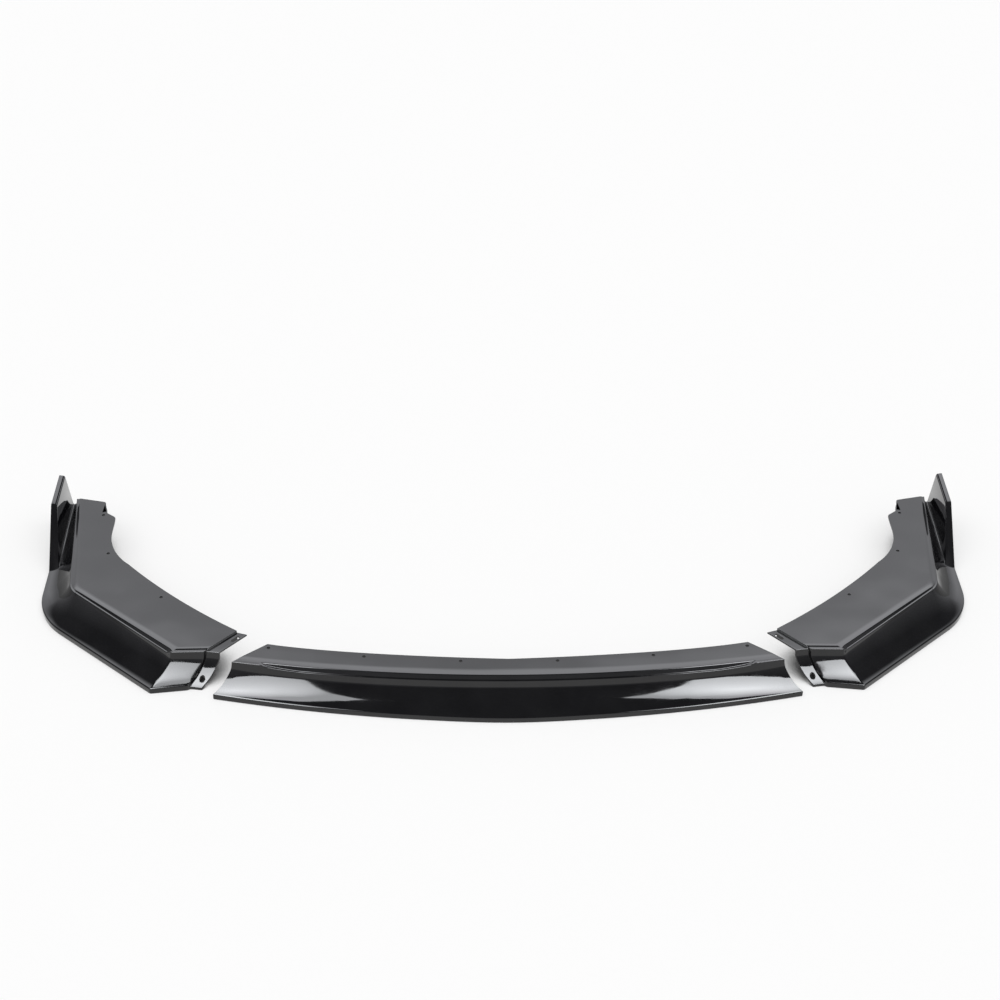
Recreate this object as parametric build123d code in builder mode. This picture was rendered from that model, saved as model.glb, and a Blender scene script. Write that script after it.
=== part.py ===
"""Front splitter lip in three thin-wall mouldings, laid out side by side on the floor.

A centre blade and two mirrored corner blades. Every skin is drawn as a row of cross-sections, each one a
wall of even thickness that runs from the screw plate over the stepped wall and the scooped lip to the rim.
+X is the car's width, +Y points to the rear and +Z is up; the rims stand on the floor at Z = 0.
"""

import os
from collections import namedtuple
from math import asin, cos, degrees, radians, sin, sqrt, tan

from build123d import *

# Shared section sizes
wall = 3.0
plate_height = 66.0
rim_height = 11.0
roll_drop = 1.2
groove_run = 3.5
ledge_width = 3.0
step_run = 2.0
scoop_out = 0.40
scoop_up = 0.20
scoop_marks = (0.0, 0.57, 0.71, 1.0)
screw_hole = 6.5

# Centre blade
edge_radius = 2736.0
flange_middle = 47.0
flange_end = 59.0
flange_swell = 5.5
flare_power = 6
run_middle = 58.7
run_end = 44.0
groove_depth = 8.7
root_middle = 42.0
root_end = 50.0
roll_middle = 14.0
roll_end = 8.0
groove_full_at = 0.76
groove_gone_at = 0.90
past_end = 1.25
screw_pairs = 3
screw_inset = 11.0

# Joint between the centre and a corner
joint_half_span = 455.0
joint_angle = 40.0
joint_gap = 1.5
joint_run = 53.5
lap_clearance = 4.2
lap_gap = 1.6
lap_angle = 19.0
lap_reach = 30.0
lap_rim_out = 2.0
lap_corners = ((-8.0, 19.5), (79.0, 21.0), (130.0, 19.0), (145.0, 0.0))
slot_length = 20.0
slot_width = 7.0
slot_along = 16.5
slot_in = 13.0
lap_hole = 11.0
lap_hole_along = 25.0
lap_hole_in = 10.0

# Corner blade
short_length = 62.5
short_angle = 7.5
groove_ramp = 12.0
diagonal_length = 306.0
diagonal_run = 64.3
diagonal_groove = 6.5
corner_radius = 45.0
side_length = 332.0
side_angle = 89.5
side_run = 77.0
side_root = 61.0
side_roll = 5.0
side_groove = 1.0
rear_width = 61.0
rear_run = 43.5
rear_angle = 23.0
rim_radius = 175.0
rim_overrun = 40.0
plate_lap = 5.0
inner_bow = 9.5
edge_round = 5.0

# Ear, waist and screw holes of the corner plate, measured in and forward from its inner rear corner
ear_notch = (5.8, 45.5)
ear_tip = (22.8, 64.0)
waist = (17.0, 140.0)
inner_bend = (54.0, 244.0)
ear_hole = (-2.6, 51.5)
waist_hole = (12.2, 198.5)
inner_hole_along = 193.6
inner_hole_inset = 27.8

# Blind pocket beside the ear
pocket_strip = 2.0
pocket_start = 10.0
pocket_length = 29.0
pocket_width = 8.5
pocket_depth = 14.0

# Winglet at the rear of the side: heights and distances out from the plate edge
fin_start = 119.0
fin_kink = 242.0
kink_crease = 27.3
kink_crease_height = 40.0
kink_crest = 43.3
kink_height = 99.5
tip_crease = 16.0
tip_crease_height = 48.0
tip_crest = 26.0
tip_height = 119.5
tip_root = 52.0
crest_width = 13.5

# Places of the corner pieces on the floor, from their fitted places
laid_turn = 8.8
laid_out = 65.6
laid_back = 37.8

Section = namedtuple("Section", "strip roll groove root run fin", defaults=[None])
Fin = namedtuple("Fin", "crease crease_height crest crest_height")


def blend(first, last, share):
    """Mix two sections, number by number."""
    return Section(*[a + (b - a) * share for a, b in zip(first[:-1], last[:-1])])


def polar(start, angle, length):
    """Point at a distance from start, at an angle from +X in plan."""
    return start + Vector(cos(radians(angle)), sin(radians(angle))) * length


def way(angle):
    """Direction in plan at an angle from +X."""
    return polar(Vector(0, 0), angle, 1)


def meet(start, start_way, other, other_way):
    """Crossing of two lines in plan."""
    return start + start_way * ((other - start).cross(other_way).Z / start_way.cross(other_way).Z)


def station(point, out_angle):
    """Upright section plane at a point of the plate edge, with its x axis pointing out."""
    out = way(out_angle)
    return Plane(origin=(point.X, point.Y, 0), x_dir=out, z_dir=out.cross(Vector(0, 0, 1)))


def skin_points(section):
    """Outer skin in (out, up): corners from the plate to the wall's root, then controls to the rim's foot."""
    edge = plate_height - roll_drop
    ledge = edge - section.groove
    shoulder = groove_run + ledge_width
    root = Vector(shoulder + step_run, section.root)
    corners = [
        Vector(-section.strip, plate_height),
        Vector(-section.roll, plate_height),
        Vector(0, edge),
        Vector(groove_run, ledge),
        Vector(shoulder, ledge),
        root,
    ]
    controls = []
    if section.fin:
        fin = section.fin
        crease_corner = Vector(fin.crease, fin.crease_height)
        crest_in = Vector(fin.crest, fin.crest_height)
        crest_out = Vector(fin.crest + crest_width, fin.crest_height)
        folds = [root, crease_corner, crest_in, crest_out]
        for a, b in zip(folds, folds[1:]):
            controls += [(a + b) / 2, b]
    else:
        rim = Vector(section.run, rim_height)
        pull = root + Vector((rim.X - root.X) * scoop_out, (rim.Y - root.Y) * (1 - scoop_up))
        for s, t in zip(scoop_marks, scoop_marks[1:]):
            for u, v in ((s, t), (t, t)):
                weight = u * (1 - v) + v * (1 - u)
                controls.append(root * ((1 - u) * (1 - v)) + pull * weight + rim * (u * v))
    return corners, controls + [Vector(section.run, 0)]


def inset(points, depth):
    """The same chain of points, moved to its right by an even depth with mitred corners."""
    legs = [(b - a).normalized() for a, b in zip(points, points[1:])]
    normals = [Vector(leg.Y, -leg.X) for leg in legs]
    moved = [points[0] + normals[0] * depth]
    for point, n1, n2 in zip(points[1:-1], normals, normals[1:]):
        moved.append(point + (n1 + n2) * (depth / (1 + n1.dot(n2))))
    moved.append(points[-1] + normals[-1] * depth)
    return moved


def sunk(chain, depth):
    """A chain of corners and controls, moved inward by a depth and still ending on the floor."""
    corners, controls = chain
    moved = inset(corners + controls, depth)
    leg = controls[-1] - controls[-2]
    moved[-1] -= leg * (moved[-1].Y / leg.Y)
    return moved[: len(corners)], moved[len(corners) :]


def band(plane, outer, inner):
    """Closed face on a section plane between two chains."""
    edges = [Edge.make_line(outer[0][0], inner[0][0]), Edge.make_line(outer[1][-1], inner[1][-1])]
    for corners, controls in (outer, inner):
        lip = corners[-1:] + controls
        edges += [Edge.make_line(a, b) for a, b in zip(corners, corners[1:])]
        edges += [Edge.make_bezier(*lip[i : i + 3]) for i in range(0, len(lip) - 2, 2)]
        edges.append(Edge.make_line(*lip[-2:]))
    return plane.location * Face(Wire(edges))


def skin(plane, section):
    """Section of a wall of even thickness."""
    chain = skin_points(section)
    return band(plane, chain, sunk(chain, wall))


# Joint line: from the rear corner of the flange's end, forward and outward
hub = Vector(0, edge_radius)
joint_rear = Vector(joint_half_span, edge_radius - sqrt((edge_radius - flange_end) ** 2 - joint_half_span**2))
joint_way = way(-joint_angle)
along = (joint_rear - hub).dot(joint_way)
joint_flange = sqrt(along**2 - (joint_rear - hub).length ** 2 + edge_radius**2) - along
joint_front = joint_rear + joint_way * joint_flange
end_angle = degrees(asin(joint_front.X / edge_radius))

middle_section = Section(flange_middle, roll_middle, groove_depth, root_middle, run_middle)
end_section = Section(flange_end, roll_end, 0, root_end, run_end)


def centre_section(share):
    """Section of the centre blade at a share of the way from the middle to the joint."""
    fade = min(max((groove_gone_at - share) / (groove_gone_at - groove_full_at), 0), 1)
    flare = min(share, 1) ** flare_power
    swell = flange_swell * 4 * share * (1 - share)
    flange = flange_middle + swell + (flange_end - flange_middle) * flare
    root = root_middle + (root_end - root_middle) * flare
    section = blend(middle_section, end_section, share)
    return section._replace(strip=flange, groove=groove_depth * fade, root=root)


def centre_skin(share):
    """Skin of the centre blade at a share of the way to the joint, to the left when negative."""
    out_angle = end_angle * share - 90
    return skin(station(polar(hub, out_angle, edge_radius), out_angle), centre_section(abs(share)))


def screw_place(x):
    """Place of a flange screw at a distance from the middle of the car."""
    share = abs(degrees(asin(x / edge_radius))) / end_angle
    radius = edge_radius - centre_section(share).strip + screw_inset
    return (x, edge_radius - sqrt(radius**2 - x**2), plate_height)


with BuildPart() as centre_form:
    body_steps = 4
    body_shares = [groove_full_at * i / body_steps for i in range(-body_steps, body_steps + 1)]
    loft([centre_skin(share) for share in body_shares])
    for hand in (-1, 1):
        end_shares = [groove_full_at, groove_gone_at, 1, past_end]
        loft([centre_skin(hand * share) for share in end_shares], ruled=True)
    for hand in (-1, 1):
        end_plane = Plane(
            origin=(hand * joint_rear.X, joint_rear.Y, 0),
            z_dir=(hand * sin(radians(joint_angle)), cos(radians(joint_angle)), 0),
        )
        split(bisect_by=end_plane, keep=Keep.BOTTOM)
    screw_half_pitch = joint_half_span / (2 * screw_pairs - 1)
    screws = [screw_half_pitch * i for i in range(1, 2 * screw_pairs, 2)]
    with Locations(*[screw_place(hand * x) for x in screws for hand in (-1, 1)]):
        Hole(screw_hole / 2, wall)

# Plate edge of the right corner in its fitted place: joint, crease, sharp corner and rear
diagonal_angle = 90 - joint_angle
diagonal_way = way(diagonal_angle)
side_way = way(side_angle)
corner_rear = joint_rear + diagonal_way * joint_gap
corner_front = joint_front + diagonal_way * joint_gap
crease = polar(corner_front, short_angle, short_length)
bend = crease + diagonal_way * diagonal_length
rear_outer = bend + side_way * side_length
rear_inner = polar(rear_outer, rear_angle, -rear_width)

# Rounded corner of the plate edge
turn = side_angle - diagonal_angle
tangent = corner_radius * tan(radians(turn / 2))
round_start = bend - diagonal_way * tangent
round_hub = polar(round_start, diagonal_angle + 90, corner_radius)
round_end = bend + side_way * tangent

# Rim in plan: two straights and a wide round between them
rim_crease = crease + joint_way * diagonal_run
rim_front = polar(bend, side_angle - 90, side_run)
rim_rear = polar(rear_outer, side_angle - 90, rear_run)
rim_way = (rim_rear - rim_front).normalized()
rim_bend = meet(rim_crease, diagonal_way, rim_front, rim_way)
rim_tangent = rim_radius * tan(radians(diagonal_way.get_angle(rim_way) / 2))
with BuildLine() as rim_plan:
    FilletPolyline(
        rim_crease - diagonal_way * rim_overrun,
        rim_bend,
        rim_rear + rim_way * rim_overrun,
        radius=rim_radius,
    )
swell_start = crease + diagonal_way * ((rim_bend - crease).dot(diagonal_way) - rim_tangent)
swell_end = bend + side_way * (rim_bend + rim_way * rim_tangent - bend).dot(side_way)

edge_inset = roll_end + plate_lap
corner_strip = edge_inset + plate_lap
joint_section = Section(corner_strip, roll_end, 0, root_end, joint_run)
diagonal_section = joint_section._replace(groove=diagonal_groove)
side_section = Section(corner_strip, side_roll, side_groove, side_root, side_run)
kink_fin = Fin(kink_crease, kink_crease_height, kink_crest, kink_height)
kink_section = side_section._replace(root=(side_root + tip_root) / 2, fin=kink_fin)
tip_fin = Fin(tip_crease, tip_crease_height, tip_crest, tip_height)
tip_section = side_section._replace(root=tip_root, fin=tip_fin)


def corner_skin(point, out_angle, section):
    """Skin across the corner's plate edge, reaching out to the rim."""
    ray = Edge.make_line(point, polar(point, out_angle, side_run + rim_overrun))
    hit = Vector(*ray.intersect(rim_plan.wire())[0])
    return skin(station(point, out_angle), section._replace(run=(hit - point).length))


def faded(length):
    """Section of the edge at a length past the groove's ramp, on its way to the side's section."""
    return blend(diagonal_section, side_section, length / fade_length)


ramp_end = crease + diagonal_way * groove_ramp
straight = (round_start - ramp_end).length
fade_length = straight + corner_radius * radians(turn)
diagonal_skins = [
    skin(station(corner_front, -joint_angle), joint_section),
    corner_skin(crease, -joint_angle, joint_section),
    corner_skin(ramp_end, -joint_angle, diagonal_section),
]
swell_steps = 2
for step in range(swell_steps + 1):
    point = swell_start + (round_start - swell_start) * (step / swell_steps)
    diagonal_skins.append(corner_skin(point, -joint_angle, faded((point - ramp_end).length)))
round_steps = 4
round_skins = []
for step in range(round_steps + 1):
    swing = turn * step / round_steps
    point = polar(round_hub, swing - joint_angle, corner_radius)
    section = faded(straight + corner_radius * radians(swing))
    round_skins.append(corner_skin(point, swing - joint_angle, section))
side_skins = []
for step in range(swell_steps + 1):
    point = round_end + (swell_end - round_end) * (step / swell_steps)
    side_skins.append(corner_skin(point, side_angle - 90, side_section))
side_skins += [
    corner_skin(bend + side_way * fin_start, rear_angle, side_section),
    corner_skin(bend + side_way * fin_kink, rear_angle, kink_section),
    corner_skin(rear_outer, rear_angle, tip_section),
]

# Joint tab: the skin again, one wall and a clearance lower, with a smaller gap under the plate
lap_top = wall + lap_clearance
lap_bottom = lap_top + wall
lap_level = plate_height + lap_clearance - lap_gap
joint_chain = skin_points(joint_section._replace(strip=joint_flange))
joint_corners, lap_controls = skin_points(joint_section._replace(run=joint_run + lap_rim_out))
lap_edge = Vector(groove_run + ledge_width, lap_level)
lap_chain = ([Vector(-joint_flange, lap_level), lap_edge, joint_corners[-1]], lap_controls)
lap_upper = sunk(lap_chain, lap_top)
lap_lower = sunk(lap_chain, lap_bottom)


def lap_band(angle, travel, outer):
    """Section of the joint tab or of its step, at a distance from the joint."""
    return band(station(polar(corner_front, angle, travel), -joint_angle), outer, lap_lower)


def from_joint(distance, inward):
    """Point of the joint tab at a distance along the joint and a distance inward of it."""
    return corner_rear + joint_way * distance - diagonal_way * inward


def from_rear(place):
    """Point of the corner plate from its distances inward and forward of the inner rear corner."""
    return rear_inner - Vector(*place)


# Plan of the corner plate, inside the band that the skin carries
front_in = corner_front - joint_way * (edge_inset / sin(radians(short_angle + joint_angle)))
rear_in = polar(rear_outer, rear_angle, -edge_inset / sin(radians(side_angle - rear_angle)))
crease_in, bend_in = inset([corner_front, crease, bend, rear_outer], -edge_inset)[1:3]
notch_point = from_rear(ear_notch)
tip_point = from_rear(ear_tip)
bend_point = from_rear(inner_bend)
inner_way = (bend_point - corner_rear).normalized()
inner_right = Vector(inner_way.Y, -inner_way.X)
inner_middle = (bend_point + corner_rear) / 2 + inner_right * inner_bow
inner_hole = corner_rear + inner_way * inner_hole_along + inner_right * inner_hole_inset
plate_holes = [inner_hole, from_rear(waist_hole), from_rear(ear_hole)]

# Pocket triangle: one side keeps a strip from the plate's edge, the base looks forward
notch_way = (notch_point - rear_inner).normalized()
pocket_side = Vector(-notch_way.Y, notch_way.X)
pocket_tip = rear_inner + notch_way * pocket_start + pocket_side * pocket_strip
pocket_in = pocket_tip + notch_way * pocket_length
pocket = [pocket_tip, pocket_in, pocket_in + pocket_side * pocket_width]

with BuildPart() as lap_tab:
    loft([lap_band(lap_angle, travel, lap_upper) for travel in (0, -lap_reach)], ruled=True)
    with BuildSketch():
        with BuildLine():
            Polyline(corner_rear, *[from_joint(*corner) for corner in lap_corners], close=True)
        make_face()
    extrude(amount=plate_height, mode=Mode.INTERSECT)

with BuildPart() as corner_form:
    loft(diagonal_skins, ruled=True)
    loft(round_skins)
    loft(side_skins, ruled=True)
    with BuildSketch(Plane.XY.offset(plate_height)) as plate:
        with BuildLine():
            Polyline(corner_rear, front_in, crease_in, bend_in, rear_in, rear_inner, notch_point, tip_point)
            Spline(tip_point, from_rear(waist), bend_point, tangents=[(0, -1), -inner_way])
            ThreePointArc(bend_point, inner_middle, corner_rear)
        make_face()
        fillet(plate.vertices().sort_by_distance(bend_in)[0], corner_radius - edge_inset)
        for corner in (corner_rear, rear_inner, tip_point):
            fillet(plate.vertices().sort_by_distance(corner)[0], edge_round)
    extrude(amount=-wall)
    loft([lap_band(short_angle, travel, joint_chain) for travel in (wall, 0)], ruled=True)
    add(lap_tab.part)
    with BuildSketch(Plane.XY.offset(plate_height)):
        with BuildLine():
            Polyline(*pocket, close=True)
        make_face()
        offset(amount=pocket_strip, kind=Kind.INTERSECTION)
    extrude(amount=-pocket_depth - wall)
    with BuildSketch(Plane.XY.offset(plate_height)):
        with BuildLine():
            Polyline(*pocket, close=True)
        make_face()
    extrude(amount=-pocket_depth, mode=Mode.SUBTRACT)
    with BuildSketch(Plane.XY.offset(plate_height)):
        with Locations(*plate_holes):
            Circle(screw_hole / 2)
        with Locations(from_joint(slot_along, slot_in)):
            SlotOverall(slot_length, slot_width, rotation=-joint_angle)
        with Locations(from_joint(joint_flange + lap_hole_along, lap_hole_in)):
            Circle(lap_hole / 2)
    extrude(amount=-plate_height, mode=Mode.SUBTRACT)

# Laid out on the floor, with the middle of the whole at the origin
corner_turn = corner_form.part.rotate(Axis((corner_rear.X, corner_rear.Y, 0), (0, 0, 1)), -laid_turn)
layout_front = centre_form.part.bounding_box().min.Y
layout_rear = corner_turn.bounding_box().max.Y + laid_back
layout_middle = (layout_front + layout_rear) / 2

with BuildPart() as centre_blade:
    with Locations((0, -layout_middle, 0)):
        add(centre_form.part)

with BuildPart() as right_corner_blade:
    with Locations((laid_out, laid_back - layout_middle, 0)):
        add(corner_turn)

with BuildPart() as left_corner_blade:
    mirror(right_corner_blade.part, about=Plane.YZ)

os.makedirs("parts", exist_ok=True)
centre_blade.part.label = "centre_blade"
right_corner_blade.part.label = "right_corner_blade"
left_corner_blade.part.label = "left_corner_blade"
export_step(centre_blade.part, "parts/centre_blade.step")
export_step(right_corner_blade.part, "parts/right_corner_blade.step")
export_step(left_corner_blade.part, "parts/left_corner_blade.step")
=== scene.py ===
"""Front splitter lip in gloss black plastic: a centre blade and two corner blades with winglets.

The skins are drawn as rows of cross-sections, from the screw plate over the stepped wall to the rim, in metres.
+X is the car's width, +Y points to the rear and +Z is up; the rims stand on the studio floor.
"""

from collections import namedtuple
from math import asin, cos, pi, radians, sin, sqrt, tan

import bpy
from bpy.props import FloatProperty, FloatVectorProperty, PointerProperty
from mathutils import Matrix, Vector
from mathutils.kdtree import KDTree


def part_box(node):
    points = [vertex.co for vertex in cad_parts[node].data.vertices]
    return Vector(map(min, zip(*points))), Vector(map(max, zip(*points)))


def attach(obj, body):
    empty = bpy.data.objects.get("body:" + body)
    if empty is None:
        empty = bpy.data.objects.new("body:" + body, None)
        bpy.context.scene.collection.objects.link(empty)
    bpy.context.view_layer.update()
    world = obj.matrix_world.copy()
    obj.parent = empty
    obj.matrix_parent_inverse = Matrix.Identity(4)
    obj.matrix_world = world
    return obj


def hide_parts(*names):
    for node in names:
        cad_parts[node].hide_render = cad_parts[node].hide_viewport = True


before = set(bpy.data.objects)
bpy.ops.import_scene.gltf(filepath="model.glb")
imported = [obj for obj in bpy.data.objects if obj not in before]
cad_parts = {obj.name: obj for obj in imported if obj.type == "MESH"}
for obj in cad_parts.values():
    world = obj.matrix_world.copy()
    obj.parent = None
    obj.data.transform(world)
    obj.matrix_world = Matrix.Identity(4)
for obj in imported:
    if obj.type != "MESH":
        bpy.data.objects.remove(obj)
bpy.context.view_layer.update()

bl_info = {
    "name": "Front Splitter Lip",
    "version": (1, 0, 0),
    "blender": (4, 5, 0),
    "location": "3D View > Sidebar > Splitter Lip",
    "description": "Builds a front splitter lip in three gloss black mouldings on a white studio floor",
    "category": "Add Mesh",
}

Section = namedtuple("Section", "strip roll groove root run lean fin", defaults=[1, None])
Fin = namedtuple("Fin", "crease crease_height crest crest_height")

# Points along each leg of a section, and the lengths over which the corners between them are eased
SKIN_SPANS = (2, 1, 1, 1, 2, 10, 3, 10, 2)
SKIN_EASES = (0.006, 0.0012, 0.0009, 0.0012, 0.003, 0.004, 0.004, 0.002)

# Steps of an eased corner, points across the flat at the joint, and rows down the joint tab
EASE_STEPS = 4
FLAT_POINTS = 6
TAB_ROWS = 4

# Most of a leg that one eased corner may take up, or each of two, and the turn below which a corner is none
MOST_ALONE, MOST_SHARED = 0.9, 0.45
LEAST_TURN = 1e-3

# Sides of a round hole, and steps round the end of a slot
HOLE_SIDES = 40
SLOT_STEPS = 16

# Distances below which two points are one
MERGE_WITHIN = 5e-6
FOUND_WITHIN = 1e-5

# Turns at which an edge is rounded, and at which it stays sharp
ROUND_FROM = radians(38)
SHARP_FROM = radians(40)


def size(name, description, millimetres):
    """A length that the user may change."""
    return FloatProperty(name=name, description=description, default=millimetres / 1000, unit="LENGTH", precision=5)


def angle(name, description, degrees):
    """An angle that the user may change."""
    return FloatProperty(name=name, description=description, default=radians(degrees), subtype="ANGLE")


def share(name, description, default):
    """A plain number that the user may change."""
    return FloatProperty(name=name, description=description, default=default, precision=4)


def pair(name, description, *values):
    """Two plain numbers that the user may change."""
    return FloatVectorProperty(name=name, description=description, default=values, size=2, precision=4)


def colour(name, description, *levels):
    """A colour that the user may change."""
    return FloatVectorProperty(name=name, description=description, default=levels, size=3, subtype="COLOR")


def place(name, description, *millimetres):
    """A point, or a pair of distances, that the user may change."""
    values = [value / 1000 for value in millimetres]
    return FloatVectorProperty(
        name=name, description=description, default=values, size=len(values), unit="LENGTH", precision=5
    )


class SkinSizes(bpy.types.PropertyGroup):
    """Sizes of the cross-section that every blade shares"""

    wall: size("Wall", "Thickness of every wall", 3)
    plate_height: size("Plate height", "Top of the screw plates above the floor", 66)
    rim_height: size("Rim height", "Height of the upright rim", 11)
    roll_drop: size("Roll drop", "Fall of the plate towards its edge", 1.2)
    groove_run: size("Groove run", "Lean of the groove's upper wall", 3.5)
    ledge_width: size("Ledge width", "Flat ledge below the plate edge", 3)
    step_run: size("Step run", "Lean of the wall below the ledge", 2)
    scoop_out: share("Scoop out", "How far out the lip's curve is pulled", 0.40)
    scoop_up: share("Scoop up", "How high the lip's curve is pulled", 0.20)
    scoop_first: share("First mark", "Share of the lip that a winglet's inner face starts from", 0.57)
    scoop_last: share("Last mark", "Share of the lip that a winglet's crest starts from", 0.71)
    screw_hole: size("Screw hole", "Diameter of the screw holes", 6.5)
    collar_wall: size("Collar wall", "Wall of the collars under the holes", 2)
    collar_drop: size("Collar drop", "Drop of the collars below the plates", 3)
    edge_round: size("Edge round", "Rounding of the cut edges", 0.45)


class CentreSizes(bpy.types.PropertyGroup):
    """Sizes of the centre blade"""

    edge_radius: size("Edge radius", "Bow of the plate edge in plan", 2736)
    flange_middle: size("Flange at the middle", "Width of the screw flange at the middle", 47)
    flange_end: size("Flange at the ends", "Width of the screw flange at the joints", 59)
    flange_swell: size("Flange swell", "Extra width of the flange half way along", 5.5)
    flare_power: share("Flare power", "How late the ends flare", 6)
    run_middle: size("Lip at the middle", "Reach of the rim from the plate edge at the middle", 58.7)
    run_end: size("Lip at the ends", "Reach of the rim from the plate edge at the joints", 44)
    groove_depth: size("Groove depth", "Depth of the step below the plate edge", 8.7)
    root_middle: size("Root at the middle", "Height of the wall's foot at the middle", 42)
    root_end: size("Root at the ends", "Height of the wall's foot at the joints", 50)
    roll_middle: size("Roll at the middle", "Width of the rolled front band at the middle", 14)
    roll_end: size("Roll at the ends", "Width of the rolled front band at the joints", 8)
    groove_full_at: share("Groove full at", "Share of the way to the joint where the groove starts to fade", 0.76)
    groove_gone_at: share("Groove gone at", "Share of the way to the joint where the groove ends", 0.90)
    screw_inset: size("Screw inset", "Screws from the rear edge of the flange", 11)


class JointSizes(bpy.types.PropertyGroup):
    """Sizes of the joint between the centre and a corner"""

    half_span: size("Half span", "Rear corner of the joint from the middle of the car", 455)
    angle: angle("Angle", "Turn of the joint line in plan", 40)
    gap: size("Gap", "Gap between the fitted blades", 1.5)
    run: size("Lip reach", "Reach of the corner's lip at the joint", 53.5)
    lap_clearance: size("Tab clearance", "Gap between the blade's wall and the joint tab", 4.2)
    lap_gap: size("Tab gap", "Gap between the plate and the joint tab", 1.6)
    lap_angle: angle("Tab sweep", "Sweep of the joint tab in plan", 19)
    lap_rim_out: size("Tab rim out", "How far the tab's rim stands out", 2)
    tab_rear: place("Tab rear", "Rear corner of the tab, along the joint and inward", -8, 19.5)
    tab_middle: place("Tab middle", "Middle corner of the tab, along the joint and inward", 79, 21)
    tab_front: place("Tab front", "Front corner of the tab, along the joint and inward", 130, 19)
    slot_length: size("Slot length", "Length of the tab's slot", 20)
    slot_width: size("Slot width", "Width of the tab's slot", 7)
    slot_at: place("Slot place", "Middle of the slot, along the joint and inward", 16.5, 13)
    slot_drop: size("Slot drop", "Drop of the rib behind the slot", 5.5)
    lap_hole: size("Tab hole", "Diameter of the hole low in the tab", 11)
    lap_hole_at: place("Tab hole place", "Hole past the plate edge along the joint, and inward", 25, 10)


class CornerSizes(bpy.types.PropertyGroup):
    """Sizes of a corner blade"""

    short_length: size("Short length", "Plate edge from the joint to the crease", 62.5)
    short_angle: angle("Short angle", "Way of that edge in plan", 7.5)
    groove_ramp: size("Groove ramp", "Length over which the groove opens", 12)
    diagonal_length: size("Diagonal length", "Plate edge from the crease to the corner", 306)
    diagonal_run: size("Diagonal lip", "Reach of the lip at the crease", 64.3)
    diagonal_groove: size("Diagonal groove", "Depth of the groove on the diagonal", 6.5)
    corner_radius: size("Corner radius", "Round of the plate edge at the corner", 45)
    side_length: size("Side length", "Plate edge from the corner to the rear", 332)
    side_angle: angle("Side angle", "Way of the side edge in plan", 89.5)
    side_run: size("Side lip", "Reach of the lip at the corner", 77)
    side_root: size("Side root", "Height of the wall's foot on the side", 61)
    side_roll: size("Side roll", "Width of the rolled band on the side", 5)
    side_groove: size("Side groove", "Depth of the groove on the side", 1)
    rear_roll: size("Rear roll", "Width of the rolled band beside the winglet", 1.6)
    rear_width: size("Rear width", "Width of the plate at its rear edge", 61)
    rear_run: size("Rear lip", "Reach of the lip at the rear", 43.5)
    rear_angle: angle("Rear angle", "Turn of the rear edge in plan", 23)
    rim_radius: size("Rim radius", "Round of the rim at the corner", 175)
    edge_inset: size("Edge inset", "Strip of the plate that follows its edge", 13)
    inner_bow: size("Inner bow", "Bow of the inner edge", 9.5)
    plan_round: size("Plan round", "Rounding of the plate's corners in plan", 5)
    ear_notch: place("Ear notch", "Notch in front of the inner rear corner", 5.8, 45.5)
    ear_tip: place("Ear tip", "Tip of the ear", 22.8, 64)
    waist: place("Waist", "Waist of the plate", 17, 140)
    inner_bend: place("Inner bend", "Bend of the inner edge", 54, 244)
    ear_hole: place("Ear hole", "Screw hole beside the ear", -2.6, 51.5)
    waist_hole: place("Waist hole", "Screw hole at the waist", 12.2, 198.5)
    inner_hole: place("Inner hole", "Screw hole along the inner edge, and inset", 193.6, 27.8)
    pocket_strip: size("Pocket strip", "Strip between the pocket and the plate's edge", 2)
    pocket_start: size("Pocket start", "Pocket from the inner rear corner", 10)
    pocket_length: size("Pocket length", "Length of the pocket", 29)
    pocket_width: size("Pocket width", "Width of the pocket", 8.5)
    pocket_depth: size("Pocket depth", "Depth of the pocket", 14)


class WingletSizes(bpy.types.PropertyGroup):
    """Sizes of the winglet at the rear of a corner blade"""

    start: size("Start", "Start of the winglet from the corner", 119)
    kink: size("Kink", "Front of the winglet's crest from the corner", 242)
    kink_crease: place("Crease at the kink", "Foot of the inner face at the kink, out and up", 27.3, 40)
    kink_crest: place("Crest at the kink", "Crest at the kink, out and up", 43.3, 99.5)
    tip_crease: place("Crease at the rear", "Foot of the inner face at the rear, out and up", 16, 48)
    tip_crest: place("Crest at the rear", "Crest at the rear, out and up", 26, 119.5)
    tip_root: size("Root at the rear", "Height of the wall's foot at the rear", 52)
    crest_width: size("Crest width", "Width of the crest", 13.5)


class LayoutSizes(bpy.types.PropertyGroup):
    """Places of the corner blades on the floor, from their fitted places"""

    turn: angle("Turn", "Turn of a corner about its joint", 8.8)
    out: size("Out", "Shift of a corner away from the centre", 65.6)
    back: size("Back", "Shift of a corner to the rear", 37.8)


class FinishSettings(bpy.types.PropertyGroup):
    """Polished gloss black plastic"""

    black: colour("Black", "Colour of the plastic", 0.0033, 0.0033, 0.004)
    grain: colour("Grain", "Colour of its paler flow marks", 0.008, 0.008, 0.009)
    ior: share("Refraction", "Refractive index of the plastic", 1.5)
    smooth: share("Polished", "Roughness of the best polished places", 0.03)
    rough: share("Handled", "Roughness of the least polished places", 0.09)
    wave: size("Wave", "Depth of the slow waves in the skin", 1.5)
    peel: size("Peel", "Depth of the fine orange peel", 0.002)


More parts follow.
